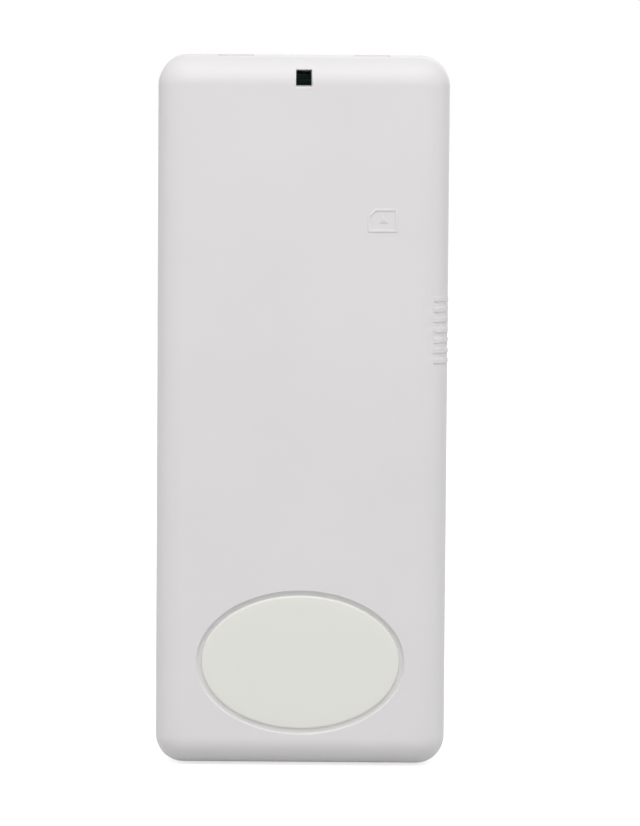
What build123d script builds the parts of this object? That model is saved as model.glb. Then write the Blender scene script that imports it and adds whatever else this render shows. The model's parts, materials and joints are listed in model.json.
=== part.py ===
from build123d import *

import os

# Door contact sensor: a wall-mounted wireless reed sensor in a two-shell case.
#
# X runs across the case, Z runs up its length, and the back face lies on Y = 0.
# A height is the distance in front of the back face, so it is measured towards -Y.

# ---------------------------------------------------------------- case
length = 90.0
width = 37.2
depth = 20.0
corner_radius = 3.6
front_edge_radius = 3.0
draft_angle = 1.0
wall = 1.7
front_wall = 1.7
floor_thickness = 2.0
flange_height = 2.6
parting_gap = 0.15
back_chamfer = 0.4
lip_wall = 1.2
lip_gap = 0.15
part_overlap = 0.5
cut_margin = 0.3

# ---------------------------------------------------------------- hooks that the cover turns on
hook_spacing = 17.5
slot_width = 4.6
hook_side_gap = 0.2
pivot_radius = 1.2
hook_gap = 0.12
hook_thickness = 0.98
hook_recess = 0.35
slot_gap = 3.9

# ---------------------------------------------------------------- snap at the lower end
tongue_width = 7.0
tongue_thickness = 1.0
tongue_set_back = 0.7
hook_nose = 0.5
hook_nose_height = 1.15
catch_width = 8.0
catch_reach = 0.5
catch_low = 1.2
catch_high = 2.0
catch_gap = 0.1
lip_notch_width = 11.0
pry_slot_width = 5.0
pry_slot_height = 0.9

# ---------------------------------------------------------------- marks on the cover
window_width = 2.05
window_length = 2.2
window_from_top = 2.85
badge_width = 25.1
badge_length = 17.0
badge_thickness = 0.4
badge_groove = 0.57
badge_recess = 0.5
badge_from_bottom = 13.4
badge_edge_radius = 0.15
mark_x = 9.95
mark_from_top = 20.6
mark_width = 3.7
mark_length = 2.95
mark_line = 0.3
mark_raise = 0.1
mark_corner = 0.9
mark_arrow = 1.0
rib_count = 7
rib_pitch = 1.3
rib_thickness = 0.5
rib_height = 2.4
rib_raise = 0.25
rib_from_top = 34.4
rib_from_front = 2.7

# ---------------------------------------------------------------- wall screws and tape recesses
wall_hole_radius = 2.0
wall_hole_spacing = 35.0
upper_hole_from_top = 14.0
wall_boss_radius = 4.4
wall_boss_height = 0.8
tape_width = 22.0
tape_length = 11.0
tape_recess = 0.4
tape_from_centre = 16.5

# ---------------------------------------------------------------- battery and its cradle
battery_diameter = 15.6
battery_length = 27.0
sleeve_thickness = 0.15
sleeve_turn_in = 1.2
button_radius = 3.1
button_height = 0.9
battery_floor_gap = 0.3
cradle_gap = 0.3
cradle_wall = 1.0
cradle_height = 7.0
saddle_thickness = 1.2
saddle_inset = 6.0
end_wall = 1.0
end_wall_half_width = 8.0
end_wall_height = 11.5
end_wall_from_bottom = 4.1
contact_thickness = 0.4
contact_half_width = 7.5
contact_low = 5.0
contact_pad_height = 0.4
contact_pad_radius = 1.5
spring_wire = 0.6
spring_radius = 3.2
spring_turns = 2
spring_space = 2.1
tab_width = 3.0
strip_height = 2.0
strip_gap = 0.2
tab_reach = 2.0

# ---------------------------------------------------------------- circuit board and its supports
front_space = 3.7
board_thickness = 1.6
board_side_gap = 1.5
board_top_gap = 0.65
board_bottom_gap = 9.6
board_corner = 0.8
access_hole_radius = 4.2
boss_radius = 2.4
boss_inset_x = 3.0
boss_inset_z = 4.4
pin_radius = 0.8
pin_gap = 0.1
pin_rise = 0.8
pin_inset_z = 3.5
right_pin_x = 8.5
screw_radius = 1.0
screw_hole_gap = 0.2
screw_grip = 5.0
screw_pilot_gap = 0.02
screw_head_radius = 2.0
screw_head_height = 1.1
driver_slot_width = 0.5
driver_slot_length = 2.4
driver_slot_depth = 0.6

# ---------------------------------------------------------------- reed switch
reed_inset_x = 1.8
reed_from_top = 35.0
reed_glass_radius = 1.1
reed_glass_length = 10.0
reed_glass_wall = 0.3
reed_seal = 1.6
reed_lift = 0.2
lead_radius = 0.25
lead_gap = 0.05
lead_run = 1.4
lead_below_board = 0.7
blade_width = 0.9
blade_thickness = 0.15
blade_gap = 0.12
blade_overlap = 1.0
blade_root_gap = 0.03

# ---------------------------------------------------------------- tamper switch
switch_x = -9.5
switch_from_top = 14.5
switch_size = 6.0
switch_height = 2.3
switch_well_radius = 1.5
switch_well_floor = 0.4
plunger_radius = 1.0
plunger_foot_radius = 1.4
plunger_foot_height = 0.3
plunger_rise = 0.7
plunger_pressed = 0.3
plunger_fit = 0.05
switch_lid = 0.4
post_radius = 1.5
post_gap = 0.05
tamper_wire = 0.12
tamper_turns = 2
tamper_coil_radius = 0.7

# ---------------------------------------------------------------- status light
led_x = 1.0
led_from_top = 4.5
led_width = 2.0
led_length = 1.25
led_height = 0.9
led_lens_width = 1.2
led_lens_length = 0.9
led_lens_height = 0.25

# ---------------------------------------------------------------- chips: (x, distance from the board's top)
controller_place = (-3.6, 26.8)
controller_width = 5.3
controller_length = 7.2
controller_height = 1.7
controller_pins = 20
controller_pin_pitch = 0.65
radio_place = (6.4, 22.6)
radio_width = 3.9
radio_length = 4.9
radio_height = 1.5
radio_pins = 8
radio_pin_pitch = 1.27
pin_thickness = 0.15
pin_width = 0.28
pin_shoulder = 0.35
pin_foot = 0.55
pin_exit = 0.8
chip_lift = 0.1
chip_bevel = 0.15

# ---------------------------------------------------------------- other board parts, placed in the same way
crystal_place = (-11.2, 24.5)
crystal_width = 3.6
crystal_length = 8.0
crystal_height = 2.4
crystal_rim = 0.4
resonator_place = (7.4, 15.0)
resonator_width = 5.0
resonator_length = 5.0
resonator_base = 0.6
resonator_lid = 0.8
resonator_step = 0.35
tantalum_place = (3.6, 34.2)
tantalum_width = 3.5
tantalum_length = 2.8
tantalum_height = 1.9
resistor_places = [(4.2, 3.6), (6.6, 3.6), (-4.4, 3.6), (-6.8, 3.6), (1.9, 28.0), (1.9, 30.2), (-9.6, 32.4)]
capacitor_places = [(4.2, 6.0), (-4.4, 6.0), (-3.6, 19.6), (-3.6, 33.2), (2.2, 22.0), (2.2, 17.4)]
chip_part_width = 1.6
chip_part_length = 0.8
resistor_height = 0.45
capacitor_height = 0.8
chip_part_bevel = 0.08

# ---------------------------------------------------------------- parts on the back of the board
can_place = (7.5, 28.5)
can_radius = 3.15
can_height = 6.2
can_groove = 0.25
can_groove_height = 1.2
can_base_size = 6.8
can_base_height = 0.8
can_base_corner = 1.4
antenna_place = (-5.0, 20.0)
antenna_radius = 2.6
antenna_wire = 0.8
antenna_pitch = 1.9
antenna_turns = 5.5
antenna_gap = 1.0

# ---------------------------------------------------------------- worked out from the values above
rim_height = flange_height + parting_gap
cover_depth = depth - rim_height
inner_width = width - 2 * wall
inner_length = length - 2 * wall
inner_radius = corner_radius - wall
inner_front = depth - front_wall
lip_width = inner_width - 2 * lip_gap
lip_length = inner_length - 2 * lip_gap
lip_radius = inner_radius - lip_gap
hook_low = rim_height + pivot_radius + hook_gap
lip_top = hook_low + hook_thickness
slot_top = lip_top + slot_gap
hook_width = slot_width - 2 * hook_side_gap
case_top = length / 2
case_bottom = -length / 2
inner_bottom = -inner_length / 2

board_front = inner_front - front_space
board_back = board_front - board_thickness
board_half_width = inner_width / 2 - board_side_gap
board_top = inner_length / 2 - board_top_gap

lower_wall_z = case_bottom + end_wall_from_bottom
negative_plate_z = lower_wall_z + end_wall
spring_z = negative_plate_z + contact_thickness
battery_z = spring_z + spring_space
battery_top = battery_z + battery_length
positive_plate_z = battery_top + contact_pad_height
upper_wall_z = positive_plate_z + contact_thickness
board_bottom = upper_wall_z + end_wall + board_bottom_gap
board_centre = (board_top + board_bottom) / 2
board_length = board_top - board_bottom
battery_radius = battery_diameter / 2
battery_height = floor_thickness + battery_floor_gap + battery_radius
contact_high = board_front + contact_thickness
cradle_inner = battery_radius + cradle_gap
strip_x = -(cradle_inner + cradle_wall + strip_gap)

upper_hole_z = case_top - upper_hole_from_top
lower_hole_z = upper_hole_z - wall_hole_spacing

boss_x = board_half_width - boss_inset_x
boss_z = board_top - boss_inset_z
pin_z = board_bottom + pin_inset_z
screw_places = [(-boss_x, boss_z), (boss_x, boss_z)]
pin_places = [(-boss_x, pin_z), (right_pin_x, pin_z)]

badge_z = case_bottom + badge_from_bottom
mark_z = case_top - mark_from_top
rib_z = case_top - rib_from_top
window_z = case_top - window_from_top

switch_z = case_top - switch_from_top
switch_top = board_front + switch_height
plunger_top = switch_top + plunger_rise
well_floor = board_front + switch_well_floor

reed_x = board_half_width - reed_inset_x
reed_z = case_top - reed_from_top
reed_height = board_front + reed_lift + reed_glass_radius
lead_z = reed_glass_length / 2 + lead_run
blade_root = reed_glass_length / 2 - reed_seal
lead_places = [(reed_x, reed_z - lead_z), (reed_x, reed_z + lead_z)]

pin_neck = pin_exit - pin_thickness


def ahead(height):
    """The plane at this height in front of the back face, with Z as its upward direction."""
    return Plane.XZ.offset(height)


def level(z):
    """The level plane at this place along the case, with -Y as its upward direction."""
    return Plane(origin=(0, 0, z), x_dir=(-1, 0, 0), z_dir=(0, 0, 1))


def save(piece, name):
    """Name a finished piece and write its STEP file."""
    piece.part.label = name
    export_step(piece.part, f"parts/{name}.step")


def coil(place, radius, wire, turns, height, leg=0):
    """A round wire wound along a plane's normal, starting on its X side, with a straight leg at each end."""
    turn = place * Helix(height / turns, height, radius)
    with BuildPart() as wound:
        with BuildSketch(Plane(origin=turn @ 0, z_dir=turn % 0)):
            Circle(wire / 2)
        sweep(path=turn, is_frenet=True)
        if leg:
            for end in (0, 1):
                with BuildSketch(ahead(-(turn @ end).Y)):
                    with Locations(((turn @ end).X, (turn @ end).Z)):
                        Circle(wire / 2)
                extrude(amount=leg)
    return wound


os.makedirs("parts", exist_ok=True)

# ---------------------------------------------------------------- rear housing
with BuildPart() as rear_housing:
    with BuildSketch(ahead(0)):
        RectangleRounded(width, length, corner_radius)
    extrude(amount=flange_height)
    chamfer(rear_housing.faces().sort_by(Axis.Y)[-1].edges(), back_chamfer)

    # the lip that the cover closes over, and the floor inside it
    with BuildSketch(ahead(flange_height)):
        RectangleRounded(lip_width, lip_length, lip_radius)
    extrude(amount=lip_top - flange_height)
    with BuildSketch(ahead(floor_thickness)):
        RectangleRounded(lip_width - 2 * lip_wall, lip_length - 2 * lip_wall, lip_radius / 2)
    extrude(amount=depth, mode=Mode.SUBTRACT)

    # the lip is open at the lower end, where the snap stands
    with BuildSketch(ahead(flange_height)):
        with Locations((0, -lip_length / 2)):
            Rectangle(lip_notch_width, 2 * lip_wall + lip_gap)
    extrude(amount=depth, mode=Mode.SUBTRACT)

    # the two hooks that reach into the cover's slots
    hook_root = lip_length / 2 - lip_wall
    hook_end = case_top - hook_recess
    with BuildSketch(ahead(hook_low)):
        for side in (-1, 1):
            with Locations((side * hook_spacing / 2, (hook_root + hook_end) / 2)):
                Rectangle(hook_width, hook_end - hook_root)
    extrude(amount=hook_thickness)

    # the snap tongue, and the nose that holds the cover's catch
    tongue_outer = inner_bottom + tongue_set_back
    with BuildSketch(ahead(floor_thickness)):
        with Locations((0, tongue_outer + tongue_thickness / 2)):
            Rectangle(tongue_width, tongue_thickness)
    nose_low = rim_height + catch_high + catch_gap
    nose_high = nose_low + hook_nose_height
    extrude(amount=nose_high - floor_thickness)
    with BuildSketch(Plane.YZ):
        with BuildLine():
            Polyline(
                (-nose_low, tongue_outer),
                (-nose_low, tongue_outer - hook_nose),
                (-nose_low - hook_nose_height / 3, tongue_outer - hook_nose),
                (-nose_high, tongue_outer),
                close=True,
            )
        make_face()
    extrude(amount=tongue_width / 2, both=True)

    # bosses for the board's screws, and posts with locating pins
    with BuildSketch(ahead(floor_thickness)):
        with Locations(*screw_places, *pin_places):
            Circle(boss_radius)
    extrude(amount=board_back - floor_thickness)
    with BuildSketch(ahead(board_back)):
        with Locations(*pin_places):
            Circle(pin_radius)
    extrude(amount=board_thickness + pin_rise)
    with BuildSketch(ahead(board_back - screw_grip)):
        with Locations(*screw_places):
            Circle(screw_radius + screw_pilot_gap)
    extrude(amount=screw_grip + board_thickness, mode=Mode.SUBTRACT)

    # the battery's end walls, side walls and saddles
    with BuildSketch(ahead(floor_thickness)):
        for wall_z in (lower_wall_z, upper_wall_z):
            with Locations((0, wall_z + end_wall / 2)):
                Rectangle(2 * end_wall_half_width, end_wall)
    extrude(amount=end_wall_height)
    with BuildSketch(ahead(floor_thickness)):
        for side in (-1, 1):
            with Locations((side * (cradle_inner + cradle_wall / 2), battery_z + battery_length / 2)):
                Rectangle(cradle_wall, battery_length)
        for saddle_z in (battery_z + saddle_inset, battery_top - saddle_inset):
            with Locations((0, saddle_z)):
                Rectangle(2 * cradle_inner + cradle_wall, saddle_thickness)
    extrude(amount=cradle_height)
    with BuildSketch(level(battery_z)):
        with Locations((0, battery_height)):
            Circle(battery_radius + cradle_gap / 2)
    extrude(amount=battery_length, mode=Mode.SUBTRACT)

    # wall screw holes in thickened rings, and shallow recesses for mounting tape
    hole_places = [(0, upper_hole_z), (0, lower_hole_z)]
    with BuildSketch(ahead(floor_thickness)):
        with Locations(*hole_places):
            Circle(wall_boss_radius)
    extrude(amount=wall_boss_height)
    with BuildSketch(ahead(0)):
        with Locations(*hole_places):
            Circle(wall_hole_radius)
    extrude(amount=depth, mode=Mode.SUBTRACT)
    with BuildSketch(ahead(0)):
        for side in (-1, 1):
            with Locations((0, side * tape_from_centre)):
                RectangleRounded(tape_width, tape_length, board_corner)
    extrude(amount=tape_recess, mode=Mode.SUBTRACT)
save(rear_housing, "rear_housing")

# ---------------------------------------------------------------- front cover
with BuildPart() as front_cover:
    with BuildSketch(ahead(rim_height)):
        RectangleRounded(width, length, corner_radius)
    extrude(amount=cover_depth, taper=draft_angle)
    fillet(front_cover.faces().sort_by(Axis.Y)[0].edges(), front_edge_radius)
    with BuildSketch(ahead(rim_height)):
        RectangleRounded(inner_width, inner_length, inner_radius)
    extrude(amount=cover_depth - front_wall, taper=draft_angle, mode=Mode.SUBTRACT)

    # the slots at the upper end, each with a rounded bar behind it that turns under its hook
    for side in (-1, 1):
        with BuildSketch(Plane.YZ.offset(side * hook_spacing / 2 - slot_width / 2)):
            with Locations((-rim_height, case_top)):
                Rectangle(slot_top - rim_height, 2 * (wall + cut_margin), align=(Align.MAX, Align.CENTER))
                Circle(pivot_radius, mode=Mode.SUBTRACT)
        extrude(amount=slot_width, mode=Mode.SUBTRACT)

    # the catch that snaps behind the tongue, and a slot to press the tongue through
    with BuildSketch(ahead(rim_height + catch_low)):
        with Locations((0, inner_bottom)):
            Rectangle(catch_width, 2 * catch_reach)
    extrude(amount=catch_high - catch_low)
    with BuildSketch(ahead(rim_height)):
        with Locations((0, case_bottom)):
            Rectangle(pry_slot_width, 2 * wall + catch_reach)
    extrude(amount=pry_slot_height, mode=Mode.SUBTRACT)

    # the window for the status light, and the oval recess for the badge
    with BuildSketch(ahead(inner_front - part_overlap)):
        with Locations((0, window_z)):
            Rectangle(window_width, window_length)
    extrude(amount=depth, mode=Mode.SUBTRACT)
    with BuildSketch(ahead(depth - badge_recess)):
        with Locations((0, badge_z)):
            Ellipse(badge_width / 2 + badge_groove, badge_length / 2 + badge_groove)
    extrude(amount=depth, mode=Mode.SUBTRACT)

    # the raised alignment mark: an outline with one cut corner, and an arrowhead inside it
    mark_right = mark_x + mark_width / 2
    mark_left = mark_x - mark_width / 2
    mark_low = mark_z - mark_length / 2
    mark_high = mark_z + mark_length / 2
    with BuildSketch(ahead(depth - part_overlap)):
        with BuildLine():
            Polyline(
                (mark_left, mark_low),
                (mark_right, mark_low),
                (mark_right, mark_high),
                (mark_left + mark_corner, mark_high),
                (mark_left, mark_high - mark_corner),
                close=True,
            )
        make_face()
        offset(amount=-mark_line, mode=Mode.SUBTRACT)
        with Locations((mark_x, mark_z)):
            Triangle(a=mark_arrow, b=mark_arrow, c=mark_arrow, rotation=90)
    extrude(amount=part_overlap + mark_raise)

    # raised ribs on the right side, level with the reed switch
    rib_face = width / 2 + rib_raise
    with BuildSketch(ahead(depth - rib_from_front - rib_height)):
        with Locations((rib_face - part_overlap, rib_z)):
            with GridLocations(0, rib_pitch, 1, rib_count):
                Rectangle(2 * part_overlap, rib_thickness)
    extrude(amount=rib_height)

    # the pad that presses on the tamper switch
    post_base = plunger_top + post_gap
    with BuildSketch(ahead(post_base)):
        with Locations((switch_x, switch_z)):
            Circle(post_radius)
    extrude(amount=inner_front - post_base + part_overlap)
save(front_cover, "front_cover")

# ---------------------------------------------------------------- oval badge
with BuildPart() as oval_badge:
    with BuildSketch(ahead(depth - badge_recess)):
        with Locations((0, badge_z)):
            Ellipse(badge_width / 2, badge_length / 2)
    extrude(amount=badge_thickness)
    fillet(oval_badge.faces().sort_by(Axis.Y)[0].edges(), badge_edge_radius)
save(oval_badge, "oval_badge")

# ---------------------------------------------------------------- circuit board
with BuildPart() as circuit_board:
    with BuildSketch(ahead(board_back)):
        with Locations((0, board_centre)):
            RectangleRounded(2 * board_half_width, board_length, board_corner)
        with Locations((0, upper_hole_z)):
            Circle(access_hole_radius, mode=Mode.SUBTRACT)
        with Locations(*screw_places):
            Circle(screw_radius + screw_hole_gap, mode=Mode.SUBTRACT)
        with Locations(*pin_places):
            Circle(pin_radius + pin_gap, mode=Mode.SUBTRACT)
        with Locations(*lead_places):
            Circle(lead_radius + lead_gap, mode=Mode.SUBTRACT)
    extrude(amount=board_thickness)
save(circuit_board, "circuit_board")

# ---------------------------------------------------------------- board screws
with BuildPart() as board_screws:
    with BuildSketch(ahead(board_back - screw_grip + screw_radius)):
        with Locations(*screw_places):
            Circle(screw_radius)
    extrude(amount=screw_grip - screw_radius + board_thickness)
    with BuildSketch(ahead(board_front)):
        with Locations(*screw_places):
            Circle(screw_head_radius)
    extrude(amount=screw_head_height)
    fillet(board_screws.faces().sort_by(Axis.Y)[:2].edges(), screw_head_height / 3)
    with BuildSketch(ahead(board_front + screw_head_height - driver_slot_depth)):
        with Locations(*screw_places):
            Rectangle(driver_slot_width, driver_slot_length)
            Rectangle(driver_slot_length, driver_slot_width)
    extrude(amount=driver_slot_depth, mode=Mode.SUBTRACT)
save(board_screws, "board_screws")

# ---------------------------------------------------------------- reed switch
reed_bottom = reed_z - reed_glass_length / 2
with BuildPart() as reed_glass:
    with BuildSketch(level(reed_bottom)):
        with Locations((-reed_x, reed_height)):
            Circle(reed_glass_radius)
    extrude(amount=reed_glass_length)
    fillet(reed_glass.edges().filter_by(GeomType.CIRCLE), reed_glass_radius / 2)
    with BuildSketch(level(reed_bottom + reed_seal)):
        with Locations((-reed_x, reed_height)):
            Circle(reed_glass_radius - reed_glass_wall)
    extrude(amount=reed_glass_length - 2 * reed_seal, mode=Mode.SUBTRACT)
    with BuildSketch(level(reed_bottom)):
        with Locations((-reed_x, reed_height)):
            Circle(lead_radius)
    extrude(amount=reed_glass_length, mode=Mode.SUBTRACT)
save(reed_glass, "reed_glass")

with BuildPart() as reed_leads:
    # each lead runs through its seal, then turns down into the board
    for end in (-1, 1):
        bend_z = reed_z + end * lead_z
        with BuildLine() as lead_path:
            FilletPolyline(
                (reed_x, -reed_height, reed_z + end * blade_root),
                (reed_x, -reed_height, bend_z),
                (reed_x, -(board_back - lead_below_board), bend_z),
                radius=2 * lead_radius,
            )
        with BuildSketch(Plane(origin=lead_path.line @ 0, z_dir=lead_path.line % 0)):
            Circle(lead_radius)
        sweep(path=lead_path.line)
    # the fixed blade lies behind the moving one
    with BuildSketch(ahead(reed_height - blade_gap / 2 - blade_thickness)):
        with Locations((reed_x, reed_z - blade_root)):
            Rectangle(blade_width, blade_root + blade_overlap / 2, align=(Align.CENTER, Align.MIN))
    extrude(amount=blade_thickness)
save(reed_leads, "reed_leads")

with BuildPart() as reed_blade:
    with BuildSketch(ahead(reed_height + blade_gap / 2)):
        with Locations((reed_x, reed_z + blade_root - blade_root_gap)):
            blade_length = blade_root - blade_root_gap + blade_overlap / 2
            Rectangle(blade_width, blade_length, align=(Align.CENTER, Align.MAX))
    extrude(amount=blade_thickness)
save(reed_blade, "reed_blade")

# ---------------------------------------------------------------- status light
led_z = case_top - led_from_top
with BuildPart() as status_led:
    with BuildSketch(ahead(board_front)):
        with Locations((led_x, led_z)):
            Rectangle(led_width, led_length)
    extrude(amount=led_height)
    chamfer(status_led.faces().sort_by(Axis.Y)[0].edges(), led_height / 12)
save(status_led, "status_led")

with BuildPart() as led_lens:
    with BuildSketch(ahead(board_front + led_height)):
        with Locations((led_x, led_z)):
            RectangleRounded(led_lens_width, led_lens_length, led_lens_length / 3)
    extrude(amount=led_lens_height)
    fillet(led_lens.faces().sort_by(Axis.Y)[0].edges(), led_lens_height / 2)
save(led_lens, "led_lens")

# ---------------------------------------------------------------- battery
can_radius_inside = battery_radius - sleeve_thickness
with BuildPart() as battery_can:
    with BuildSketch(level(battery_z)):
        with Locations((0, battery_height)):
            Circle(can_radius_inside)
    extrude(amount=battery_length - button_height)
    fillet(battery_can.edges().filter_by(GeomType.CIRCLE), sleeve_turn_in / 2)
    with BuildSketch(level(battery_top - button_height)):
        with Locations((0, battery_height)):
            Circle(button_radius)
    extrude(amount=button_height)
    fillet(battery_can.edges().sort_by(Axis.Z)[-1], button_height / 4)
save(battery_can, "battery_can")

with BuildPart() as battery_sleeve:
    with BuildSketch(level(battery_z + sleeve_turn_in)):
        with Locations((0, battery_height)):
            Circle(battery_radius)
            Circle(can_radius_inside, mode=Mode.SUBTRACT)
    extrude(amount=battery_length - button_height - 2 * sleeve_turn_in)
save(battery_sleeve, "battery_sleeve")

# ---------------------------------------------------------------- battery contacts
with BuildPart() as positive_contact:
    with BuildSketch(level(battery_top)):
        with Locations((0, battery_height)):
            Circle(contact_pad_radius)
    extrude(amount=contact_pad_height)
    plate_height = contact_high - contact_low
    with BuildSketch(level(positive_plate_z)):
        with Locations((0, contact_low + plate_height / 2)):
            Rectangle(2 * contact_half_width, plate_height)
    extrude(amount=contact_thickness)
    # a tab that bends over onto the front of the board
    tab_end = board_bottom + tab_reach
    with BuildSketch(ahead(board_front)):
        with Locations((contact_half_width - tab_width / 2, (positive_plate_z + tab_end) / 2)):
            Rectangle(tab_width, tab_end - positive_plate_z)
    extrude(amount=contact_thickness)
save(positive_contact, "positive_contact")

with BuildPart() as negative_contact:
    with BuildSketch(level(negative_plate_z)):
        with Locations((0, contact_low + plate_height / 2)):
            Rectangle(2 * contact_half_width, plate_height)
    extrude(amount=contact_thickness)
    # an arm and a strip that run beside the cradle to the back of the board
    arm_end = strip_x - contact_thickness
    with BuildSketch(ahead(board_back - strip_height)):
        with Locations((arm_end, negative_plate_z)):
            Rectangle(contact_half_width, contact_thickness, align=Align.MIN)
            Rectangle(contact_thickness, tab_end - negative_plate_z, align=Align.MIN)
    extrude(amount=strip_height)
save(negative_contact, "negative_contact")

negative_spring = coil(
    Plane(origin=(0, -battery_height, spring_z + spring_wire / 2), z_dir=(0, 0, 1)),
    radius=spring_radius,
    wire=spring_wire,
    turns=spring_turns,
    height=spring_space - spring_wire,
)
save(negative_spring, "negative_spring")

# ---------------------------------------------------------------- tamper switch
with BuildPart() as tamper_switch:
    with BuildSketch(ahead(board_front)):
        with Locations((switch_x, switch_z)):
            Rectangle(switch_size, switch_size)
    extrude(amount=switch_height)
    chamfer(tamper_switch.faces().sort_by(Axis.Y)[0].edges(), chip_bevel)
    with BuildSketch(ahead(well_floor)):
        with Locations((switch_x, switch_z)):
            Circle(switch_well_radius)
    extrude(amount=switch_height - switch_well_floor - switch_lid, mode=Mode.SUBTRACT)
    with BuildSketch(ahead(well_floor)):
        with Locations((switch_x, switch_z)):
            Circle(plunger_radius + plunger_fit)
    extrude(amount=switch_height, mode=Mode.SUBTRACT)
save(tamper_switch, "tamper_switch")

foot_top = switch_top - switch_lid - plunger_pressed
foot_low = foot_top - plunger_foot_height
with BuildPart() as tamper_plunger:
    with BuildSketch(ahead(foot_low)):
        with Locations((switch_x, switch_z)):
            Circle(plunger_foot_radius)
    extrude(amount=plunger_foot_height)
    with BuildSketch(ahead(foot_top)):
        with Locations((switch_x, switch_z)):
            Circle(plunger_radius)
    extrude(amount=plunger_top - foot_top)
    fillet(tamper_plunger.faces().sort_by(Axis.Y)[0].edges(), plunger_radius / 4)
save(tamper_plunger, "tamper_plunger")

tamper_spring = coil(
    Plane(origin=(switch_x, -(well_floor + tamper_wire / 2), switch_z), z_dir=(0, -1, 0)),
    radius=tamper_coil_radius,
    wire=tamper_wire,
    turns=tamper_turns,
    height=foot_low - well_floor - tamper_wire,
)
save(tamper_spring, "tamper_spring")

# ---------------------------------------------------------------- chips and their pins
for name, place, chip_width, chip_length, chip_height, pins, pitch in (
    (
        "controller",
        controller_place,
        controller_width,
        controller_length,
        controller_height,
        controller_pins,
        controller_pin_pitch,
    ),
    ("radio_chip", radio_place, radio_width, radio_length, radio_height, radio_pins, radio_pin_pitch),
):
    chip_x = place[0]
    chip_z = board_top - place[1]
    with BuildPart() as chip:
        with BuildSketch(ahead(board_front + chip_lift)):
            with Locations((chip_x, chip_z)):
                Rectangle(chip_width, chip_length)
        extrude(amount=chip_height - chip_lift)
        chamfer(chip.faces().sort_by(Axis.Y)[0].edges(), chip_bevel)
    save(chip, name)

    # a gull-wing pin leaves the body half-way up and comes down to the board
    with BuildPart() as chip_pins:
        for side in (-1, 1):
            body_side = chip_x + side * chip_width / 2
            first_pin = chip_z - (pins / 2 - 1) * pitch / 2 - pin_width / 2
            for n in range(pins // 2):
                with BuildSketch(Plane.XY.offset(first_pin + n * pitch)):
                    with BuildLine():
                        Polyline(
                            (body_side, -(board_front + pin_exit)),
                            (body_side + side * pin_shoulder, -(board_front + pin_exit)),
                            (body_side + side * pin_shoulder, -(board_front + pin_thickness)),
                            (body_side + side * (pin_shoulder + pin_foot), -(board_front + pin_thickness)),
                            (body_side + side * (pin_shoulder + pin_foot), -board_front),
                            (body_side + side * (pin_shoulder - pin_thickness), -board_front),
                            (body_side + side * (pin_shoulder - pin_thickness), -(board_front + pin_neck)),
                            (body_side, -(board_front + pin_neck)),
                            close=True,
                        )
                    make_face()
                extrude(amount=pin_width)
    save(chip_pins, f"{name}_pins")

# ---------------------------------------------------------------- crystal and resonator
with BuildPart() as crystal_can:
    crystal_at = (crystal_place[0], board_top - crystal_place[1])
    with BuildSketch(ahead(board_front)):
        with Locations(crystal_at):
            SlotOverall(crystal_length, crystal_width, rotation=90)
    extrude(amount=crystal_rim)
    with BuildSketch(ahead(board_front + crystal_rim)):
        with Locations(crystal_at):
            SlotOverall(crystal_length - crystal_rim, crystal_width - crystal_rim, rotation=90)
    extrude(amount=crystal_height - crystal_rim)
    fillet(crystal_can.faces().sort_by(Axis.Y)[0].edges(), crystal_rim)
save(crystal_can, "crystal_can")

resonator_at = (resonator_place[0], board_top - resonator_place[1])
with BuildPart() as resonator_base_plate:
    with BuildSketch(ahead(board_front)):
        with Locations(resonator_at):
            Rectangle(resonator_width, resonator_length)
    extrude(amount=resonator_base)
save(resonator_base_plate, "resonator_base")

with BuildPart() as resonator_cap:
    with BuildSketch(ahead(board_front + resonator_base)):
        with Locations(resonator_at):
            Rectangle(resonator_width - 2 * resonator_step, resonator_length - 2 * resonator_step)
    extrude(amount=resonator_lid)
    fillet(resonator_cap.edges().filter_by(Axis.Y), resonator_step)
    fillet(resonator_cap.faces().sort_by(Axis.Y)[0].edges(), resonator_step / 2)
save(resonator_cap, "resonator_cap")

# ---------------------------------------------------------------- small board parts
with BuildPart() as tantalum_capacitor:
    with BuildSketch(ahead(board_front)):
        with Locations((tantalum_place[0], board_top - tantalum_place[1])):
            Rectangle(tantalum_width, tantalum_length)
    extrude(amount=tantalum_height)
    chamfer(tantalum_capacitor.faces().sort_by(Axis.Y)[0].edges(), chip_bevel)
save(tantalum_capacitor, "tantalum_capacitor")

for name, places, height in (
    ("chip_resistors", resistor_places, resistor_height),
    ("chip_capacitors", capacitor_places, capacitor_height),
):
    with BuildPart() as chip_parts:
        with BuildSketch(ahead(board_front)):
            with Locations(*[(x, board_top - down) for x, down in places]):
                Rectangle(chip_part_width, chip_part_length)
        extrude(amount=height)
        chamfer(chip_parts.faces().filter_by(Plane.XZ).group_by(Axis.Y)[0].edges(), chip_part_bevel)
    save(chip_parts, name)

# ---------------------------------------------------------------- parts on the back of the board
can_at = (can_place[0], board_top - can_place[1])
with BuildPart() as capacitor_base:
    with BuildSketch(ahead(board_back - can_base_height)):
        with Locations(can_at):
            Rectangle(can_base_size, can_base_size)
    extrude(amount=can_base_height)
    chamfer(capacitor_base.edges().filter_by(Axis.Y).group_by(Axis.Z)[-1], can_base_corner)
save(capacitor_base, "capacitor_base")

with BuildPart() as capacitor_can:
    can_end = board_back - can_base_height - can_height
    with BuildSketch(ahead(can_end)):
        with Locations(can_at):
            Circle(can_radius)
    extrude(amount=can_height)
    fillet(capacitor_can.faces().sort_by(Axis.Y)[-1].edges(), can_groove)
    with BuildSketch(ahead(can_end + can_height - can_groove_height)):
        with Locations(can_at):
            Circle(can_radius)
            Circle(can_radius - can_groove, mode=Mode.SUBTRACT)
    extrude(amount=2 * can_groove, mode=Mode.SUBTRACT)
save(capacitor_can, "capacitor_can")

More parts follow.
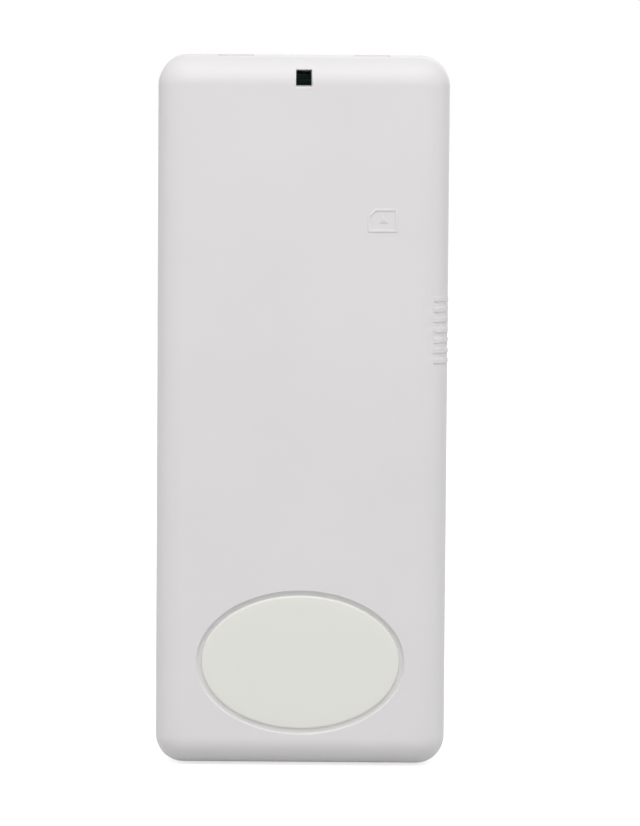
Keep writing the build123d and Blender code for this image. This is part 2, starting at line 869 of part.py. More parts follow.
antenna_length = antenna_turns * antenna_pitch
antenna_height = board_back - antenna_gap - antenna_wire / 2 - antenna_radius
antenna_start = antenna_place[0] - antenna_length / 2
antenna_z = board_top - antenna_place[1]
antenna_coil = coil(
    Plane(origin=(antenna_start, -antenna_height, antenna_z), x_dir=(0, 0, -1), z_dir=(1, 0, 0)),
    radius=antenna_radius,
    wire=antenna_wire,
    turns=antenna_turns,
    height=antenna_length,
    leg=board_back - antenna_height,
)
save(antenna_coil, "antenna_coil")
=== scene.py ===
import json
import math

import bmesh
import bpy
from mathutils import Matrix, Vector


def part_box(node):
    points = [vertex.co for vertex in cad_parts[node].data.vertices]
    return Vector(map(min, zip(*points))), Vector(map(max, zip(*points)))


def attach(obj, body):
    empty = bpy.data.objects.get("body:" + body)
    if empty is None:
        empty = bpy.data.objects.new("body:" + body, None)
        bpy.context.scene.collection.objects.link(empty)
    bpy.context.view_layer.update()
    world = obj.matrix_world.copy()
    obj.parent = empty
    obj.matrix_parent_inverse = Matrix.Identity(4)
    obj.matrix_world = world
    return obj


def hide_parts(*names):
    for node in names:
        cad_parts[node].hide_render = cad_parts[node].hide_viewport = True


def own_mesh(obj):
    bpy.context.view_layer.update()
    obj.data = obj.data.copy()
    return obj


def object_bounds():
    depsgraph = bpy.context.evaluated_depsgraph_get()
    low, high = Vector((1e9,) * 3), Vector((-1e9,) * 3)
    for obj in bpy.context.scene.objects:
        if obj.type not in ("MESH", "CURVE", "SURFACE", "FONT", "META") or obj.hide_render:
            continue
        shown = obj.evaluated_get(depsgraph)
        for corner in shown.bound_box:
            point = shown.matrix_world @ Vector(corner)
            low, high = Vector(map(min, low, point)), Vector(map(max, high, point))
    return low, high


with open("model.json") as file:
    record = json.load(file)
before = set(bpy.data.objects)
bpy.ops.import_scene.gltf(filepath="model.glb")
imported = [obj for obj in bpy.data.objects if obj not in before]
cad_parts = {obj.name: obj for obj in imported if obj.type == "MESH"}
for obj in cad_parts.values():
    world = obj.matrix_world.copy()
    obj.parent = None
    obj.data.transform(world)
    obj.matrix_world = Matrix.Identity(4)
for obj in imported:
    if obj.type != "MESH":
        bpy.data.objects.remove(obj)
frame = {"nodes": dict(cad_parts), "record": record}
cad_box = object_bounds()

bl_info = {
    "name": "Door contact sensor",
    "version": (1, 0, 0),
    "blender": (4, 5, 0),
    "location": "3D View > Sidebar > Sensor",
    "description": "Builds the visible pieces of a wireless door contact sensor round its frame",
    "category": "Add Mesh",
}

MM = 0.001
FRAME_DIGITS = 3
CURVE_SIDES = 128
SMOOTH_ANGLE = math.radians(32)
REACH = 2.0

# sizes in millimetres of what the snap, the tamper pad and the small marks are made of
PRY_SLOT = (5.0, 0.9)
CATCH_WIDTH = 8.0
CATCH_SPAN = (1.2, 2.0)
CATCH_OVERLAP = 0.3
CATCH_REACH = 0.5
PAD_RADIUS = 1.5
PAD_LENGTH = 1.15
PAD_GAP = 0.05
BADGE_CROWN = ((0.94, 0.012), (0.85, 0.016), (0.75, 0.012), (0.5, 0.01))
BADGE_CROWN_ROOM = 0.05
BADGE_EDGE = 0.28
MARK_ROOT = 0.2
MARK_SLOPE = 0.07
ARROW_RADIUS = 0.62
ARROW_SHIFT = 0.15
RIB_COUNT = 7
RIB_ROOT = 0.2
RIB_ANGLE = math.radians(62)
CHIP_END = 0.3
CHIP_END_SKIN = 0.02
LEAD_RADIUS = 0.25
SOLDER = (0.62, 0.27, 0.42)

# how the camera's picture is set out: its height in metres, and how far its middle is moved
PICTURE_HEIGHT = 0.1058
PICTURE_SHIFT = (0.0206, -0.0068)


# ---------------------------------------------------------------- places taken from the frame
def span(node):
    """The lowest and highest corners of a node of the frame, in millimetres."""
    low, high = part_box(node)
    return low / MM, high / MM


def middle(node):
    """The middle of a node of the frame, in millimetres."""
    low, high = span(node)
    return (low + high) / 2


def islands(node):
    """The lowest and highest corners, in millimetres, of each separate solid of a node."""
    mesh = frame["nodes"][node].data
    owner = {}

    def root(key):
        while owner[key] != key:
            owner[key] = owner[owner[key]]
            key = owner[key]
        return key

    keys = [tuple(round(c / MM, FRAME_DIGITS) for c in v.co) for v in mesh.vertices]
    for key in keys:
        owner.setdefault(key, key)
    for face in mesh.polygons:
        first = root(keys[face.vertices[0]])
        for corner in face.vertices[1:]:
            owner[root(keys[corner])] = first
    groups = {}
    for key in sorted(owner):
        groups.setdefault(root(key), []).append(key)
    return sorted(
        (tuple(map(min, zip(*points))), tuple(map(max, zip(*points)))) for points in groups.values()
    )


# ---------------------------------------------------------------- modelling by hand, in millimetres
def begin():
    """Leave edit mode and deselect everything, so that the next operator acts on nothing old."""
    if bpy.context.object and bpy.context.object.mode != "OBJECT":
        bpy.ops.object.mode_set(mode="OBJECT")
    bpy.ops.object.select_all(action="DESELECT")


def take(piece):
    """Make one piece the only selected and active one."""
    begin()
    piece.select_set(True)
    bpy.context.view_layer.objects.active = piece


def block(name, low, high):
    """A box between two corners."""
    begin()
    low, high = Vector(low), Vector(high)
    bpy.ops.mesh.primitive_cube_add(size=1, location=(low + high) / 2)
    piece = bpy.context.object
    piece.name = name
    piece.scale = high - low
    bpy.ops.object.transform_apply(location=True, rotation=True, scale=True)
    return piece


def disc(name, centre, radius_x, radius_z, front, back, sides=CURVE_SIDES):
    """A round or oval cylinder that runs from its front to its back along Y."""
    begin()
    place = (centre[0], (front + back) / 2, centre[1])
    bpy.ops.mesh.primitive_cylinder_add(
        vertices=sides, radius=1, depth=back - front, location=place, rotation=(math.pi / 2, 0, 0)
    )
    piece = bpy.context.object
    piece.name = name
    bpy.ops.object.transform_apply(location=True, rotation=True, scale=True)
    pick(piece, "verts", lambda v: True)
    bpy.ops.transform.resize(value=(radius_x, 1, radius_z), center_override=place)
    begin()
    return piece


def pick(piece, kind, test):
    """Enter edit mode with only those verts, edges or faces selected that pass the test."""
    take(piece)
    bpy.ops.object.mode_set(mode="EDIT")
    mode = {"verts": "VERT", "edges": "EDGE", "faces": "FACE"}[kind]
    bpy.ops.mesh.select_mode(type=mode)
    bpy.ops.mesh.select_all(action="DESELECT")
    shape = bmesh.from_edit_mesh(piece.data)
    for element in getattr(shape, kind):
        element.select_set(bool(test(element)))
    shape.select_flush_mode()
    bmesh.update_edit_mesh(piece.data)


def bevel(piece, test, width, segments):
    """Round the edges that pass the test."""
    pick(piece, "edges", test)
    bpy.ops.mesh.bevel(offset=width, segments=segments, affect="EDGES", clamp_overlap=False)
    begin()


def along_y(edge):
    """Does an edge run straight from front to back?"""
    run = edge.verts[1].co - edge.verts[0].co
    return abs(run.x) < 0.01 and abs(run.z) < 0.01


def at_y(place, slack=0.01):
    """A test for edges that lie in one plane across Y."""
    return lambda edge: all(abs(v.co.y - place) < slack for v in edge.verts)


def flare(piece, front, factor_x, factor_z):
    """Widen the front end of a cutter, so that it leaves a sloped edge."""
    pick(piece, "verts", lambda v: v.co.y < front + 0.01)
    centre = piece.data.vertices[0].co
    x = (max(v.co.x for v in piece.data.vertices) + min(v.co.x for v in piece.data.vertices)) / 2
    z = (max(v.co.z for v in piece.data.vertices) + min(v.co.z for v in piece.data.vertices)) / 2
    bpy.ops.transform.resize(value=(factor_x, 1, factor_z), center_override=(x, centre.y, z))
    begin()


def combine(piece, other, operation="DIFFERENCE"):
    """Cut another shape from a piece, or join it on, and remove the other shape."""
    take(piece)
    change = piece.modifiers.new("Combine", "BOOLEAN")
    change.object = other
    change.operation = operation
    change.solver = "EXACT"
    bpy.ops.object.modifier_apply(modifier=change.name)
    bpy.data.objects.remove(other)


def gather(name, pieces):
    """Join several shapes into one piece."""
    begin()
    for piece in pieces:
        piece.select_set(True)
    bpy.context.view_layer.objects.active = pieces[0]
    if len(pieces) > 1:
        bpy.ops.object.join()
    pieces[0].name = name
    return pieces[0]


def copy_of(piece, shift):
    """A copy of a piece with a mesh of its own, moved over."""
    take(piece)
    bpy.ops.object.duplicate(linked=False)
    twin = bpy.context.object
    pick(twin, "verts", lambda v: True)
    bpy.ops.transform.translate(value=shift)
    begin()
    return twin


def settle(piece, body, slot, stands_for=(), recalculate=True):
    """Clean a finished piece, shade it, bring it to metres, and hand it to its body and material."""
    take(piece)
    bpy.ops.object.mode_set(mode="EDIT")
    bpy.ops.mesh.select_all(action="SELECT")
    bpy.ops.mesh.remove_doubles(threshold=0.0005)
    if recalculate:
        bpy.ops.mesh.normals_make_consistent(inside=False)
    bpy.ops.object.mode_set(mode="OBJECT")
    piece.scale = (MM, MM, MM)
    bpy.ops.object.transform_apply(location=True, rotation=True, scale=True)
    bpy.ops.object.shade_smooth_by_angle(angle=SMOOTH_ANGLE)
    weigh = piece.modifiers.new("Weigh", "WEIGHTED_NORMAL")
    weigh.keep_sharp = True
    bpy.ops.object.modifier_apply(modifier=weigh.name)
    piece.data.materials.clear()
    piece.data.materials.append(finish_for(slot))
    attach(piece, body)
    if stands_for:
        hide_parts(*stands_for)
    return piece


# ---------------------------------------------------------------- shader sums
class Flow:
    """A shader socket that can be used in Python sums."""

    def __init__(self, net, socket):
        self.net = net
        self.socket = socket

    def sum(self, operation, first, second):
        return self.net.node("ShaderNodeMath", {"operation": operation}, {0: first, 1: second})

    def __add__(self, other):
        return self.sum("ADD", self, other)

    def __radd__(self, other):
        return self.sum("ADD", other, self)

    def __sub__(self, other):
        return self.sum("SUBTRACT", self, other)

    def __rsub__(self, other):
        return self.sum("SUBTRACT", other, self)

    def __mul__(self, other):
        return self.sum("MULTIPLY", self, other)

    def __rmul__(self, other):
        return self.sum("MULTIPLY", other, self)

    def __truediv__(self, other):
        return self.sum("DIVIDE", self, other)

    def __gt__(self, other):
        return self.sum("GREATER_THAN", self, other)

    def __lt__(self, other):
        return self.sum("LESS_THAN", self, other)

    def __mod__(self, other):
        return self.sum("FLOORED_MODULO", self, other)

    def __abs__(self):
        return self.sum("ABSOLUTE", self, 0.0)


class Net:
    """The nodes of one material."""

    def __init__(self, name):
        self.material = bpy.data.materials.new(name)
        self.material.use_nodes = True
        self.tree = self.material.node_tree
        self.tree.nodes.clear()

    def node(self, kind, settings, inputs, output=0):
        """Add a node: its settings first, then the values or links of its sockets."""
        made = self.tree.nodes.new(kind)
        for key, value in settings.items():
            setattr(made, key, value)
        for key, value in inputs.items():
            if isinstance(value, Flow):
                self.tree.links.new(value.socket, made.inputs[key])
            else:
                made.inputs[key].default_value = value
        return Flow(self, made.outputs[output])

    def place(self):
        """Where a point lies on its piece, in millimetres."""
        spot = self.node("ShaderNodeTexCoord", {}, {}, "Object")
        return self.node("ShaderNodeVectorMath", {"operation": "SCALE"}, {0: spot, "Scale": 1 / MM})

    def parts(self, place):
        """The X, Y and Z of a place."""
        return [self.node("ShaderNodeSeparateXYZ", {}, {0: place}, n) for n in range(3)]

    def noise(self, place, scale, detail=2.0, roughness=0.5, output=0):
        """A cloud of values round a half, with this many features in a millimetre."""
        values = {"Vector": place, "Scale": scale, "Detail": detail, "Roughness": roughness}
        return self.node("ShaderNodeTexNoise", {}, values, output)

    def mix(self, factor, first, second):
        """One colour blended into another."""
        return self.node("ShaderNodeMix", {"data_type": "RGBA"}, {0: factor, 6: first, 7: second}, 2)

    def bump(self, height, strength, depth):
        """A normal that follows a height, with its depth in millimetres."""
        values = {"Height": height, "Strength": strength, "Distance": depth * MM}
        return self.node("ShaderNodeBump", {}, values)

    def surface(self, **sockets):
        """The material's glossy or metal surface. Underscores stand for the spaces of socket names."""
        named = {key.replace("_", " "): value for key, value in sockets.items()}
        shader = self.node("ShaderNodeBsdfPrincipled", {}, named)
        self.node_out(shader)
        return self.material

    def node_out(self, shader):
        """Send a shader to the material's output."""
        out = self.tree.nodes.new("ShaderNodeOutputMaterial")
        self.tree.links.new(shader.socket, out.inputs["Surface"])


def shade(colour, factor):
    """A colour made lighter or darker, ready for a socket."""
    return tuple(min(1.0, c * factor) for c in colour[:3]) + (1.0,)


# ---------------------------------------------------------------- finishes
def moulded(name, colour, roughness, grain=0.05, tint=0.97, specks=False):
    """Moulded plastic: soft uneven colour, a fine spark-eroded grain, and a few dark specks."""
    net = Net(name)
    place = net.place()
    cloud = net.noise(place, 0.06, 3.0)
    grit = net.noise(place, 7.0, 2.0, 0.6)
    base = net.mix(cloud, shade(colour, tint), shade(colour, 2 - tint))
    if specks:
        cell = {"Vector": place, "Scale": 0.11, "Randomness": 1.0}
        near = net.node("ShaderNodeTexVoronoi", {}, cell, "Distance")
        dot = near < 0.012
        base = net.mix(dot * 0.45, base, shade(colour, 0.4))
    rough = roughness + (grit - 0.5) * 0.12 + (cloud - 0.5) * 0.06
    normal = net.bump(grit, grain, 0.02)
    return net.surface(Base_Color=base, Roughness=rough, Normal=normal, Specular_IOR_Level=0.3)


def drawn_metal(name, colour, roughness, streak=(0.4, 6.0, 6.0), dull=0.75):
    """Bare or plated metal, with fine streaks and dull patches."""
    net = Net(name)
    place = net.place()
    run = net.node("ShaderNodeVectorMath", {"operation": "MULTIPLY"}, {0: place, 1: streak})
    streaks = net.noise(run, 1.0, 4.0, 0.65)
    patches = net.noise(place, 0.5, 3.0)
    base = net.mix(patches, shade(colour, dull), shade(colour, 1.08))
    rough = roughness + (streaks - 0.5) * 0.25 + (patches - 0.5) * 0.12
    normal = net.bump(streaks, 0.12, 0.01)
    return net.surface(Base_Color=base, Metallic=1.0, Roughness=rough, Normal=normal)


def clear_glass(name, colour):
    """The reed switch's clear green glass."""
    net = Net(name)
    place = net.place()
    swirl = net.noise(place, 0.9, 3.0)
    base = net.mix(swirl, shade(colour, 0.9), shade(colour, 1.05))
    rough = 0.03 + swirl * 0.05
    return net.surface(Base_Color=base, Roughness=rough, Transmission_Weight=0.92, IOR=1.5)


def solder_mask(name, colour):
    """A circuit board: dark green mask over raised tracks, and a bare straw-coloured edge."""
    net = Net(name)
    place = net.place()
    x, y, z = net.parts(place)
    low, high = span("circuit_board")
    cell = {"Vector": place, "Scale": 0.22, "Randomness": 1.0}
    region = net.node("ShaderNodeTexVoronoi", {"distance": "CHEBYCHEV"}, cell, "Color")
    choice = net.node("ShaderNodeSeparateColor", {}, {0: region}, 0)
    upright = abs((x % 0.9) - 0.45) < 0.13
    level = abs((z % 0.9) - 0.45) < 0.13
    tracks = upright * (choice > 0.62) + level * (choice < 0.3)
    weave = net.noise(place, 3.0, 3.0)
    cloud = net.noise(place, 0.2, 2.0)
    mask = net.mix(cloud, shade(colour, 0.85), shade(colour, 1.15))
    mask = net.mix(tracks * 0.8, mask, shade(colour, 2.1))
    edge = (y > low.y + 0.06) * (y < high.y - 0.06)
    fibre = net.mix(weave, (0.10, 0.11, 0.03, 1), (0.24, 0.24, 0.09, 1))
    base = net.mix(edge, mask, fibre)
    rough = 0.5 + edge * 0.25 + (weave - 0.5) * 0.08
    normal = net.bump(tracks + weave * 0.12, 0.35, 0.04)
    return net.surface(Base_Color=base, Roughness=rough, Normal=normal, Specular_IOR_Level=0.3)


def cell_sleeve(name, colour):
    """The battery's plain shrink sleeve, with a pale ring near its positive end."""
    net = Net(name)
    place = net.place()
    z = net.parts(place)[2]
    high = span("battery_sleeve")[1].z
    ring = (z > high - 5.2) * (z < high - 3.4)
    creases = net.noise(place, 0.8, 4.0, 0.6)
    base = net.mix(ring, shade(colour, 1.0), (0.62, 0.62, 0.60, 1))
    base = net.mix(creases * 0.25, base, shade(colour, 0.5))
    rough = 0.22 + creases * 0.16
    normal = net.bump(creases, 0.15, 0.05)
    return net.surface(Base_Color=base, Roughness=rough, Normal=normal, Coat_Weight=0.3)


def lit_lens(name, colour):
    """The status light's clear resin."""
    net = Net(name)
    place = net.place()
    cloud = net.noise(place, 1.5, 2.0)
    base = net.mix(cloud, shade(colour, 0.85), shade(colour, 1.1))
    rough = 0.08 + cloud * 0.06
    return net.surface(Base_Color=base, Roughness=rough, Coat_Weight=0.6)


made_finishes = {}


def finish_for(slot):
    """The material of a slot, made the first time it is asked for."""
    if slot not in made_finishes:
        made_finishes[slot] = FINISHES[slot]()
    return made_finishes[slot]


def colours():
    """The colours that a user may change."""
    return bpy.context.scene.sensor_colours


FINISHES = {
    "case_plastic": lambda: moulded("Case plastic", colours().case, 0.5, specks=True),
    "badge_plastic": lambda: moulded("Badge plastic", colours().badge, 0.30, 0.02, 0.985, specks=True),
    "circuit_board": lambda: solder_mask("Solder mask", colours().board),
    "zinc_steel": lambda: drawn_metal("Zinc steel", (0.62, 0.63, 0.60), 0.32),
    "reed_glass": lambda: clear_glass("Reed glass", (0.78, 0.93, 0.86)),
    "tinned_lead": lambda: drawn_metal("Tinned lead", (0.66, 0.66, 0.64), 0.30),
    "led_body": lambda: moulded("Light body", (0.82, 0.82, 0.79), 0.35),
    "led_lens": lambda: lit_lens("Light lens", (0.80, 0.72, 0.30)),
    "battery_steel": lambda: drawn_metal("Battery steel", (0.60, 0.60, 0.60), 0.25),
    "battery_sleeve": lambda: cell_sleeve("Battery sleeve", colours().sleeve),
    "nickel_contact": lambda: drawn_metal("Nickel contact", (0.62, 0.60, 0.55), 0.28),
    "black_plastic": lambda: moulded("Black plastic", (0.022, 0.022, 0.024), 0.42, 0.08),
    "plunger_plastic": lambda: moulded("Plunger plastic", (0.50, 0.06, 0.045), 0.40, 0.08),
    "spring_steel": lambda: drawn_metal("Spring steel", (0.50, 0.50, 0.50), 0.30),
    "chip_plastic": lambda: moulded("Chip epoxy", (0.028, 0.028, 0.030), 0.55, 0.12, 0.9),
    "tinned_pin": lambda: drawn_metal("Tinned pin", (0.70, 0.70, 0.69), 0.35),
    "crystal_steel": lambda: drawn_metal("Crystal can", (0.62, 0.62, 0.60), 0.27),
    "ceramic": lambda: moulded("Ceramic", (0.09, 0.08, 0.08), 0.50, 0.08),
    "gold_lid": lambda: drawn_metal("Gold lid", (0.80, 0.58, 0.24), 0.30),
    "tantalum": lambda: moulded("Tantalum epoxy", (0.72, 0.32, 0.04), 0.45, 0.08),
    "resistor_body": lambda: moulded("Resistor glaze", (0.025, 0.025, 0.027), 0.25, 0.05),
    "capacitor_body": lambda: moulded("Capacitor ceramic", (0.38, 0.26, 0.16), 0.45, 0.08),
    "capacitor_aluminium": lambda: drawn_metal("Capacitor can", (0.74, 0.74, 0.74), 0.30),
    "copper_wire": lambda: drawn_metal("Copper wire", (0.72, 0.32, 0.14), 0.25),
}


# ---------------------------------------------------------------- what a user may change
def length(name, default, text):
    """A length in millimetres, kept in metres."""
    return bpy.props.FloatProperty(
        name=name, description=text, default=default * MM, min=0, unit="LENGTH", precision=5
    )


def tone(name, default, text):
    """A colour."""
    return bpy.props.FloatVectorProperty(
        name=name, description=text, default=default, min=0, max=1, size=3, subtype="COLOR"
    )


class SensorSizes(bpy.types.PropertyGroup):
    """Sizes of the case that the frame's boxes don't give."""

    corner: length("Corner radius", 3.6, "Radius of the outline's corners")
    edge: length("Front edge radius", 3.4, "Radius of the edge round the front face")
    draft: length("Draft", 0.3, "How much narrower each side is at the front than at the rim")
    wall: length("Wall", 1.7, "Thickness of the cover's walls")
    rim_break: length("Rim break", 0.12, "Size of the small slope round the cover's rim")
    raise_mark: length("Raised marks", 0.1, "How far the moulded marks stand out")
    window_width: length("Window width", 2.05, "Width of the status window")
    window_length: length("Window length", 2.2, "Length of the status window")
    window_drop: length("Window place", 2.85, "Distance from the upper end to the window's middle")
    window_edge: length("Window edge", 0.1, "Size of the slope round the window")
    window_lean: length("Window lean", 0.19, "How far the window's lower wall leans inwards")
    window_side_lean: length("Window side lean", 0.13, "How far the window's right wall leans inwards")
    groove: length("Badge groove", 0.57, "Width of the gap round the oval badge")
    recess: length("Badge recess", 0.5, "Depth of the oval recess")
    recess_edge: length("Recess edge", 0.13, "Size of the slope round the oval recess")
    slot_length: length("Slot length", 6.2, "How far the upper slots reach from the rim")
    slot_width: length("Slot width", 4.6, "Width of each upper slot")
    slot_spacing: length("Slot spacing", 17.5, "Distance between the upper slots' middles")
    bar: length("Pivot bar radius", 1.2, "Radius of the bar behind each upper slot")
    mark_x: length("Mark place", 9.95, "Distance from the middle to the alignment mark")
    mark_drop: length("Mark drop", 20.6, "Distance from the upper end to the alignment mark")
    mark_width: length("Mark width", 3.7, "Width of the alignment mark")
    mark_length: length("Mark length", 2.95, "Length of the alignment mark")
    mark_corner: length("Mark corner", 0.9, "Size of the alignment mark's cut corner")
    mark_line: length("Mark line", 0.3, "Width of the alignment mark's lines")
    rib_drop: length("Rib drop", 34.4, "Distance from the upper end to the middle rib")
    rib_pitch: length("Rib pitch", 1.3, "Distance between two ribs")
    rib_width: length("Rib width", 0.5, "Width of each rib")
    rib_raise: length("Rib height", 0.12, "How far the ribs stand out")


class SensorColours(bpy.types.PropertyGroup):
    """Colours of the case, the board and the cell."""

    case: tone("Case", (0.80, 0.785, 0.785), "Colour of both shells")
    badge: tone("Badge", (0.845, 0.845, 0.79), "Colour of the oval badge")
    board: tone("Board", (0.010, 0.078, 0.034), "Colour of the board's solder mask")
    sleeve: tone("Sleeve", (0.03, 0.05, 0.11), "Colour of the battery's sleeve")


class SensorStage(bpy.types.PropertyGroup):
    """Camera, floor and lights."""

    distance: bpy.props.FloatProperty(
        name="Distance", description="From the camera to the sensor", default=0.6, unit="LENGTH"
    )
    azimuth: bpy.props.FloatProperty(
        name="Azimuth", description="How far to the right the camera stands", default=0, subtype="ANGLE"
    )
    elevation: bpy.props.FloatProperty(
        name="Elevation",
        description="How far the camera looks down",
        default=math.radians(4.6),
        subtype="ANGLE",
    )
    roll: bpy.props.FloatProperty(
        name="Roll", description="How far the camera is turned", default=math.radians(0.4), subtype="ANGLE"
    )
    key: bpy.props.FloatProperty(
        name="Key light", description="Watts of the light above and in front", default=2.45, min=0
    )
    fill: bpy.props.FloatProperty(
        name="Fill light", description="Watts of each light at the sides and behind", default=0.75, min=0
    )
    room: bpy.props.FloatProperty(
        name="Room light", description="Level of the room's light", default=0.41, min=0
    )


def sizes():
    """The sizes in millimetres, by name."""
    group = bpy.context.scene.sensor_sizes
    return {key: getattr(group, key) / MM for key in SensorSizes.__annotations__}


# ---------------------------------------------------------------- the pieces
class SENSOR_OT_cover(bpy.types.Operator):
    """Model the front cover's shell"""

    bl_idname = "sensor.cover"
    bl_label = "Front cover"

    def execute(self, context):
        s = sizes()
        low, high = span("rear_housing")
        cover_low, cover_high = span("front_cover")
        front = cover_low.y + s["raise_mark"]
        rim = cover_high.y
        shell = block("cover_shell", (low.x, front, low.z), (high.x, rim, high.z))
        bevel(shell, along_y, s["corner"], 14)
        pick(shell, "verts", lambda v: v.co.y < front + 0.01)
        taper = (1 - s["draft"] / high.x, 1, 1 - s["draft"] / high.z)
        bpy.ops.transform.resize(value=taper, center_override=(0, front, 0))
        bevel(shell, at_y(front), s["edge"], 14)
        pick(shell, "faces", lambda f: f.normal.y > 0.9)
        bpy.ops.mesh.delete(type="FACE")
        begin()
        take(shell)
        hollow = shell.modifiers.new("Hollow", "SOLIDIFY")
        hollow.thickness = s["wall"]
        hollow.offset = -1
        hollow.use_even_offset = True
        bpy.ops.object.modifier_apply(modifier=hollow.name)
        bevel(shell, at_y(rim), s["rim_break"], 2)

        self.window(shell, s, front, high.z)
        self.recess(shell, s, front)
        self.slots(shell, s, rim, high.z)
        self.snap(shell, s, rim, low.z)
        settle(shell, "cover", "case_plastic", ["front_cover"])
        return {"FINISHED"}

    def window(self, shell, s, front, top):
        """The square window, with a slope round its front edge."""
        half_x = s["window_width"] / 2
        half_z = s["window_length"] / 2
        z = top - s["window_drop"]
        back = front + 2 * s["wall"] + 0.3
        hole = block("hole", (-half_x, front - REACH, z - half_z), (half_x, back, z + half_z))
        deep_share = (back - front) / s["wall"]
        ahead_share = -REACH / s["wall"]
        for test, lean in (
            (lambda v: v.co.z < z, (0, 0, s["window_lean"])),
            (lambda v: v.co.x > 0, (-s["window_side_lean"], 0, 0)),
        ):
            for share, deep in ((deep_share, True), (ahead_share, False)):
                pick(hole, "verts", lambda v: test(v) and (v.co.y > front) == deep)
                bpy.ops.transform.translate(value=[share * c for c in lean])
        combine(shell, hole)
        slope_back = front + s["window_edge"]
        spread = slope_back - (front - REACH)
        slope = block("slope", (-half_x, front - REACH, z - half_z), (half_x, slope_back, z + half_z))
        flare(slope, front - REACH, 1 + spread / half_x, 1 + spread / half_z)
        combine(shell, slope)

    def recess(self, shell, s, front):
        """The oval recess, with a slope round its front edge."""
        low, high = span("oval_badge")
        centre = ((low.x + high.x) / 2, (low.z + high.z) / 2)
        radius_x = (high.x - low.x) / 2 + s["groove"]
        radius_z = (high.z - low.z) / 2 + s["groove"]
        combine(shell, disc("recess", centre, radius_x, radius_z, front - REACH, front + s["recess"]))
        slope_back = front + s["recess_edge"]
        spread = slope_back - (front - REACH)
        slope = disc("slope", centre, radius_x, radius_z, front - REACH, slope_back)
        flare(slope, front - REACH, 1 + spread / radius_x, 1 + spread / radius_z)
        combine(shell, slope)

    def slots(self, shell, s, rim, top):
        """The two slots at the upper end, each behind its rounded bar."""
        for side in (-1, 1):
            x = side * s["slot_spacing"] / 2
            half = s["slot_width"] / 2
            slot = block(
                "slot",
                (x - half, rim - s["slot_length"], top - s["wall"] - 0.3),
                (x + half, rim + REACH, top + REACH),
            )
            begin()
            bpy.ops.mesh.primitive_cylinder_add(
                vertices=64, radius=s["bar"], depth=8, location=(x, rim, top), rotation=(0, math.pi / 2, 0)
            )
            bar = bpy.context.object
            bpy.ops.object.transform_apply(location=True, rotation=True, scale=True)
            combine(slot, bar)
            combine(shell, slot)

    def snap(self, shell, s, rim, bottom):
        """The catch and the slot to press it through, and the pad on the tamper switch."""
        half = PRY_SLOT[0] / 2
        notch_low = (-half, rim - PRY_SLOT[1], bottom - REACH)
        notch = block("notch", notch_low, (half, rim + REACH, bottom + REACH))
        combine(shell, notch)
        half = CATCH_WIDTH / 2
        inside = bottom + s["wall"]
        catch = block(
            "catch",
            (-half, rim - CATCH_SPAN[1], inside - CATCH_OVERLAP),
            (half, rim - CATCH_SPAN[0], inside + CATCH_REACH),
        )
        combine(shell, catch, "UNION")
        plunger_low = span("tamper_plunger")[0]
        switch = middle("tamper_switch")
        back = plunger_low.y - PAD_GAP
        place = (switch.x, switch.z)
        pad = disc("pad", place, PAD_RADIUS, PAD_RADIUS, back - PAD_LENGTH, back, 48)
        combine(shell, pad, "UNION")


class SENSOR_OT_badge(bpy.types.Operator):
    """Model the crowned oval badge"""

    bl_idname = "sensor.badge"
    bl_label = "Oval badge"

    def execute(self, context):
        low, high = span("oval_badge")
        centre = ((low.x + high.x) / 2, (low.z + high.z) / 2)
        front = low.y + BADGE_CROWN_ROOM
        badge = disc("badge_oval", centre, (high.x - low.x) / 2, (high.z - low.z) / 2, front, high.y)
        bevel(badge, at_y(front), BADGE_EDGE, 5)
        pick(badge, "faces", lambda f: f.normal.y < -0.99)
        for share, rise in BADGE_CROWN:
            bpy.ops.mesh.extrude_region_move(TRANSFORM_OT_translate={"value": (0, -rise, 0)})
            bpy.ops.transform.resize(value=(share, 1, share), center_override=(centre[0], low.y, centre[1]))
        begin()
        settle(badge, "cover", "badge_plastic", ["oval_badge"])
        return {"FINISHED"}


